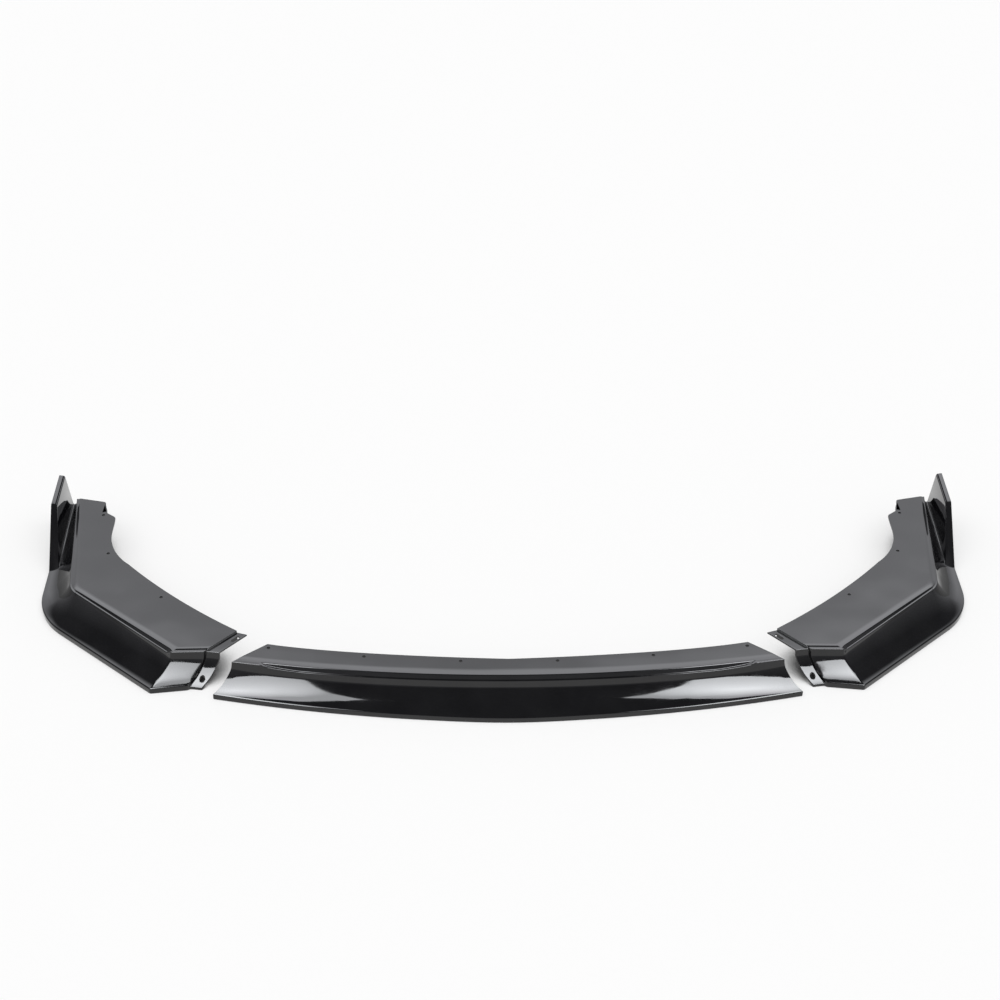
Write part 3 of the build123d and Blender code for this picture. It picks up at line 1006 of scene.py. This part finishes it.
        first, last = (waist - tip).length, (bend - waist).length
        tip_way, bend_way = Vector((0, -1, 0)), -inner_way
        pull = (waist - tip) * (3 * last / first) + (bend - waist) * (3 * first / last)
        waist_way = (pull - tip_way * last - bend_way * first) / (2 * (first + last))
        sweep = []
        for a, a_way, b, b_way, length in (
            (tip, tip_way, waist, waist_way, first),
            (waist, waist_way, bend, bend_way, last),
        ):
            for step in range(self.SWEEP_STEPS):
                t = step / self.SWEEP_STEPS
                sweep.append(
                    a * (2 * t**3 - 3 * t**2 + 1)
                    + a_way * ((t**3 - 2 * t**2 + t) * length)
                    + b * (3 * t**2 - 2 * t**3)
                    + b_way * ((t**3 - t**2) * length)
                )
        for step in range(self.BOW_STEPS):
            t = step / self.BOW_STEPS
            sweep.append(bend.lerp(self.rear, t) + inner_right * (4 * corner.inner_bow * t * (1 - t)))
        knots = [rear_in, self.rear_inner, notch, tip, sweep[3]]
        eases = [corner.plan_round, corner.plan_round / 10, corner.plan_round]
        rear_part = traced(straight_legs(knots), eases, [4, 4, 2, 1])
        up = Vector((0, 0, self.skin.plate_height))
        return [point + up for point in rear_part[1:] + sweep[4:]], inner_way, inner_right

    def pocket(self, grow=0):
        """Triangle of the blind pocket beside the ear, or of the cup round it."""
        corner = self.corner
        notch_way = (self.from_rear(corner.ear_notch) - self.rear_inner).normalized()
        side_way = Vector((-notch_way.y, notch_way.x, 0))
        tip = self.rear_inner + notch_way * corner.pocket_start + side_way * corner.pocket_strip
        base = tip + notch_way * corner.pocket_length
        points = [tip, base, base + side_way * corner.pocket_width]
        closed = [point.to_2d() for point in [points[-1], *points, points[0]]]
        return [point.to_3d() for point in inset(closed, grow)[1:4]]


def stadium(middle, long_way, length, width):
    """Outline of a slot with round ends."""
    turned = long_way.cross(Vector((0, 0, 1)))
    reach = (length - width) / 2
    points = []
    for hand in (1, -1):
        for step in range(SLOT_STEPS + 1):
            swing = pi * step / SLOT_STEPS - pi / 2
            bow = long_way * (cos(swing) * hand) + turned * (-sin(swing) * hand)
            points.append(middle + long_way * (reach * hand) + bow * (width / 2))
    return points


class CornerOperator(bpy.types.Operator):
    """Build the corner blades with their screw plates, joint tabs and winglets"""

    bl_idname = "splitter_lip.corner_blades"
    bl_label = "Corner Blades"

    def execute(self, context):
        scene = context.scene
        skin, corner, joint = scene.lip_skin, scene.lip_corner, scene.lip_joint
        plan = CornerPlan(scene)
        lip_outer, lip_inner = plan.rows()
        tab_outer, tab_inner = plan.tab_rows()
        lip_inner[0] = tab_inner[0][FLAT_POINTS:]
        inner_edge, inner_way, inner_right = plan.inner_edge()
        down = Vector((0, 0, -skin.wall))

        outline = tab_outer[0][:FLAT_POINTS] + [row[0] for row in lip_outer] + inner_edge
        lip = grid_sheet("right_corner_moulding", lip_outer)
        tab = grid_sheet("joint_tab", tab_outer)
        plate = plan_face("screw_plate", outline)
        blade = join([lip, tab, plate])
        weld(blade)
        pairs = matched(lip_outer, lip_inner) + matched(tab_outer, tab_inner)
        pairs += [(point, point + down) for point in inner_edge]
        thicken(blade, skin.wall, pairs)

        top = skin.plate_height + skin.wall
        cup_top, cup_floor = skin.plate_height - skin.wall / 2, skin.plate_height - corner.pocket_depth
        cup = prism("pocket_cup", plan.pocket(corner.pocket_strip), cup_top, cup_floor - skin.wall)
        carve(blade, cup, "UNION")
        along, inset_by = corner.inner_hole
        holes = [
            plan.rear + inner_way * along + inner_right * inset_by,
            plan.from_rear(corner.waist_hole),
            plan.from_rear(corner.ear_hole),
        ]
        drill(blade, skin, holes)
        slot_middle = plan.from_joint(*joint.slot_at)
        slot = stadium(slot_middle, plan.out_way, joint.slot_length, joint.slot_width)
        rib_middle = slot_middle + plan.back_way * (joint.slot_width / 2 + skin.collar_wall)
        rib = stadium(rib_middle, plan.out_way, joint.slot_length, skin.collar_wall)
        tab_top = skin.plate_height - skin.wall - joint.lap_gap
        rib_foot = tab_top - skin.wall - joint.slot_drop
        carve(blade, prism("slot_rib", rib, tab_top - skin.wall / 2, rib_foot), "UNION")
        hole_along, hole_in = joint.lap_hole_at
        low_hole = plan.from_joint(plan.joint.flange + hole_along, hole_in)
        tools = [
            prism("pocket_well", plan.pocket(), top, cup_floor),
            prism("tab_slot", slot, top, rib_foot - skin.wall),
            pin("tab_hole", low_hole, joint.lap_hole / 2, top, 0),
        ]
        carve(blade, join(tools), "DIFFERENCE")
        round_edges(blade, skin.edge_round)

        layout = scene.lip_layout
        shift = layout_shift(context) + Vector((layout.out, layout.back, 0))
        lay = (
            Matrix.Translation(shift)
            @ Matrix.Translation(plan.rear)
            @ Matrix.Rotation(-layout.turn, 4, "Z")
            @ Matrix.Translation(-plan.rear)
        )
        blade.data.transform(lay)
        only(blade)
        bpy.ops.object.duplicate()
        left = context.object
        left.name = "left_corner_moulding"
        left.scale.x = -1
        bpy.ops.object.transform_apply(location=False, rotation=False, scale=True)
        edit(left, FACE_OUT)
        finish_piece(blade, "right_corner_blade")
        finish_piece(left, "left_corner_blade")
        return {"FINISHED"}


def add_lamp(name, kind, at, aim):
    """A lamp at a place, aimed along a direction."""
    lamp = bpy.data.lights.new(name, kind)
    obj = bpy.data.objects.new(name, lamp)
    bpy.context.scene.collection.objects.link(obj)
    obj.location = at
    obj.rotation_euler = Vector(aim).to_track_quat("-Z", "Y").to_euler()
    obj.visible_camera = False
    return obj


# Levels of the wall behind the car and of the dim room around it, from the horizon up, as the gloss shows them
WALL_RISE = (
    (0, 0.1),
    (0.15, 0.15),
    (0.34, 0.345),
    (0.5, 0.37),
    (0.6, 0.38),
    (0.65, 0.45),
    (0.69, 0.7),
    (0.72, 0.88),
    (0.77, 0.95),
)
ROOM_RISE = ((0, 0.125), (0.2, 0.09), (0.5, 0.035), (1, 0.035))
WALL_TINT = (0.985, 0.995, 1.04)

# Drop of the wall's levels to each side, and how far aside it goes on
WALL_BOW, BOW_TO = 0.32, 0.3


class StageOperator(bpy.types.Operator):
    """Add the white floor, the studio light and the camera"""

    bl_idname = "splitter_lip.stage"
    bl_label = "Studio Stage"

    FLOOR_SIDE, FLOOR_CELLS, FLOOR_DROP = 60, 8, 0.0003

    def execute(self, context):
        scene = context.scene
        studio = scene.lip_studio
        deselect()
        bpy.ops.mesh.primitive_grid_add(
            x_subdivisions=self.FLOOR_CELLS,
            y_subdivisions=self.FLOOR_CELLS,
            size=self.FLOOR_SIDE,
            location=(0, 0, -self.FLOOR_DROP),
        )
        floor = context.object
        floor.name = "studio_floor"
        floor.data.materials.append(self.floor_paint(studio))
        self.backdrop(scene, studio)
        for which, name in enumerate(("left", "right")):
            hand = 2 * which - 1
            self.side_panel(f"{name}_panel", which, studio)
            sun = add_lamp(f"{name}_light", "SUN", (hand * 2, 0, 3), (-hand * 0.5, 0.15, -1))
            sun.data.energy = studio.sun
            sun.data.angle = studio.sun_spread
            sun.visible_glossy = False
        self.camera(scene, studio)
        scene.view_settings.view_transform = "Standard"
        return {"FINISHED"}

    @staticmethod
    def side_panel(name, which, studio):
        """A bright panel beside the car that only the gloss shows, brightest at one place."""
        hand, turn = 2 * which - 1, studio.panel_turn[which]
        out = Vector((hand * cos(turn), -sin(turn), 0))
        back = Vector((hand * sin(turn), cos(turn), 0))
        front, rear = studio.panel_front[which], studio.panel_rear[which]
        low, high = studio.panel_low[which], studio.panel_high[which]
        middle = out * studio.panel_away[which] + back * ((front + rear) / 2) + Vector((0, 0, (low + high) / 2))
        panel = add_lamp(name, "AREA", middle, -out)
        lamp = panel.data
        lamp.shape = "RECTANGLE"
        lamp.size = rear - front
        lamp.size_y = high - low
        lamp.color = studio.glow_tint
        lamp.energy = studio.glow[which] * pi * lamp.size * lamp.size_y
        panel.visible_diffuse = False

        lamp.use_nodes = True
        tree = lamp.node_tree
        spot = add_node(tree, "NewGeometry").outputs["Parametric"]
        scale = (lamp.size, lamp.size_y, 0)
        place_on = vector_node(tree, "MULTIPLY", spot, scale)["Vector"]
        along = studio.glow_along[which] - front
        glow_at = (along if hand > 0 else lamp.size - along, studio.glow_up[which] - low, 0)
        away = vector_node(tree, "DISTANCE", place_on, glow_at)["Value"]
        fade = map_range(tree, away, 0, studio.glow_reach[which], 1, studio.glow_edge, "LINEAR")
        wire(tree.nodes["Emission"].inputs["Strength"], fade)

    @staticmethod
    def floor_paint(studio):
        """White floor, whiter to the camera in the open, with painted shade near and under the blades, and with its
        own levels in the gloss.
        """
        paint = bpy.data.materials.new("studio_white")
        paint.use_nodes = True
        tree = paint.node_tree
        shader = tree.nodes["Principled BSDF"]
        shader.inputs["Roughness"].default_value = 1
        shader.inputs["Specular IOR Level"].default_value = 0
        # Painted shade: where ambient occlusion finds the floor covered by a blade, its colour falls to the contact
        # level and the camera's white lift is held back.
        cover = add_node(tree, "AmbientOcclusion", {"Distance": studio.contact_reach}).outputs["AO"]
        open_air = map_range(tree, cover, *studio.contact_open)
        shade = (*[studio.contact_shade] * 3, 1)
        wire(shader.inputs["Base Color"], mix_colours(tree, open_air, shade, (*studio.floor, 1)))

        path = add_node(tree, "LightPath").outputs
        in_open = math_node(tree, "MULTIPLY", path["Is Camera Ray"], open_air)
        lift = math_node(tree, "MULTIPLY", in_open, studio.white_share)
        white = add_node(tree, "Emission").outputs["Emission"]
        seen = mix_shaders(tree, lift, shader.outputs["BSDF"], white)

        # Painted light in the reflections: in the gloss the floor glows at its own levels, brighter behind the car
        # and dimmer beside it.
        spot = add_node(tree, "TexCoord").outputs["Object"]
        spot = add_node(tree, "SeparateXYZ", {"Vector": spot}).outputs
        rear = map_range(tree, spot["Y"], *studio.floor_rear, *studio.floor_gloss)
        beside = map_range(tree, math_node(tree, "ABSOLUTE", spot["X"]), *studio.floor_side)
        level = add_node(tree, "Mix", {"Factor": beside, "A": rear, "B": studio.side_gloss}).outputs["Result"]
        mirrored = add_node(tree, "Emission", {"Strength": level}).outputs["Emission"]
        in_gloss = mix_shaders(tree, path["Is Glossy Ray"], seen, mirrored)
        wire(tree.nodes["Material Output"].inputs["Surface"], in_gloss)
        return paint

    @staticmethod
    def backdrop(scene, studio):
        """White to the camera, an even dome on the floor, and a wall behind the car in the gloss."""
        world = bpy.data.worlds.new("studio_backdrop")
        scene.world = world
        world.use_nodes = True
        tree = world.node_tree
        white = tree.nodes["Background"]
        white.inputs["Color"].default_value = (1, 1, 1, 1)
        dome = add_node(tree, "Background", {"Color": (1, 1, 1, 1), "Strength": studio.dome})

        facing = add_node(tree, "TexCoord").outputs["Generated"]
        rise = add_node(tree, "SeparateXYZ", {"Vector": facing}).outputs
        level = vector_node(tree, "MULTIPLY", facing, (1, 1, 0))["Vector"]
        heading = vector_node(tree, "NORMALIZE", level)["Vector"]
        behind = add_node(tree, "SeparateXYZ", {"Vector": heading}).outputs["Y"]
        spread = map_range(tree, behind, *studio.wall_spread)
        below_top = map_range(tree, rise["Z"], *studio.wall_top, 1, 0)
        on_wall = math_node(tree, "MULTIPLY", spread, below_top)

        aside = math_node(tree, "MINIMUM", math_node(tree, "ABSOLUTE", rise["X"]), BOW_TO)
        lifted = math_node(tree, "MULTIPLY_ADD", aside, WALL_BOW, rise["Z"])
        room, rear = [
            colour_ramp(tree, height, [(at, [bright * tint for tint in WALL_TINT]) for at, bright in stops])
            for height, stops in ((rise["Z"], ROOM_RISE), (lifted, WALL_RISE))
        ]
        shade = mix_colours(tree, on_wall, room, rear)
        wall = add_node(tree, "Background", {"Color": shade, "Strength": studio.wall})

        path = add_node(tree, "LightPath").outputs
        in_gloss = path["Is Glossy Ray"]
        lit = mix_shaders(tree, in_gloss, dome.outputs["Background"], wall.outputs["Background"])
        seen = mix_shaders(tree, path["Is Camera Ray"], lit, white.outputs["Background"])
        wire(tree.nodes["World Output"].inputs["Surface"], seen)

    @staticmethod
    def camera(scene, studio):
        """Camera at the photograph's viewing angle."""
        data = bpy.data.cameras.new("photo_camera")
        data.sensor_width = 36
        data.lens = studio.focal
        data.clip_end = 200
        camera = bpy.data.objects.new("photo_camera", data)
        scene.collection.objects.link(camera)
        pitch, yaw, roll = studio.pitch, studio.yaw, studio.roll
        ahead = Vector((sin(yaw) * cos(pitch), cos(yaw) * cos(pitch), -sin(pitch)))
        level = Vector((cos(yaw), -sin(yaw), 0))
        rise = level.cross(ahead)
        right = level * cos(roll) + rise * sin(roll)
        up = rise * cos(roll) - level * sin(roll)
        turn = Matrix((right, up, -ahead)).transposed().to_4x4()
        camera.matrix_world = Matrix.Translation(Vector(studio.camera_at)) @ turn
        scene.camera = camera


class SplitterPanel(bpy.types.Panel):
    """Sizes and build steps of the splitter lip"""

    bl_idname = "VIEW3D_PT_splitter_lip"
    bl_label = "Splitter Lip"
    bl_space_type = "VIEW_3D"
    bl_region_type = "UI"
    bl_category = "Splitter Lip"

    def draw(self, context):
        for operator in (CentreOperator, CornerOperator, StageOperator):
            self.layout.operator(operator.bl_idname)
        for group in GROUPS:
            box = self.layout.box()
            box.label(text=GROUPS[group].__doc__)
            settings = getattr(context.scene, group)
            for key in settings.__annotations__:
                box.prop(settings, key)


GROUPS = {
    "lip_skin": SkinSizes,
    "lip_centre": CentreSizes,
    "lip_joint": JointSizes,
    "lip_corner": CornerSizes,
    "lip_winglet": WingletSizes,
    "lip_layout": LayoutSizes,
    "lip_finish": FinishSettings,
    "lip_studio": StudioSettings,
}
CLASSES = (*GROUPS.values(), CentreOperator, CornerOperator, StageOperator, SplitterPanel)


def register():
    for cls in CLASSES:
        bpy.utils.register_class(cls)
    for name, cls in GROUPS.items():
        setattr(bpy.types.Scene, name, PointerProperty(type=cls))


def unregister():
    for name in GROUPS:
        delattr(bpy.types.Scene, name)
    for cls in reversed(CLASSES):
        bpy.utils.unregister_class(cls)


def main():
    register()
    bpy.ops.splitter_lip.centre_blade()
    bpy.ops.splitter_lip.corner_blades()
    bpy.ops.splitter_lip.stage()


if __name__ == "__main__":
    main()
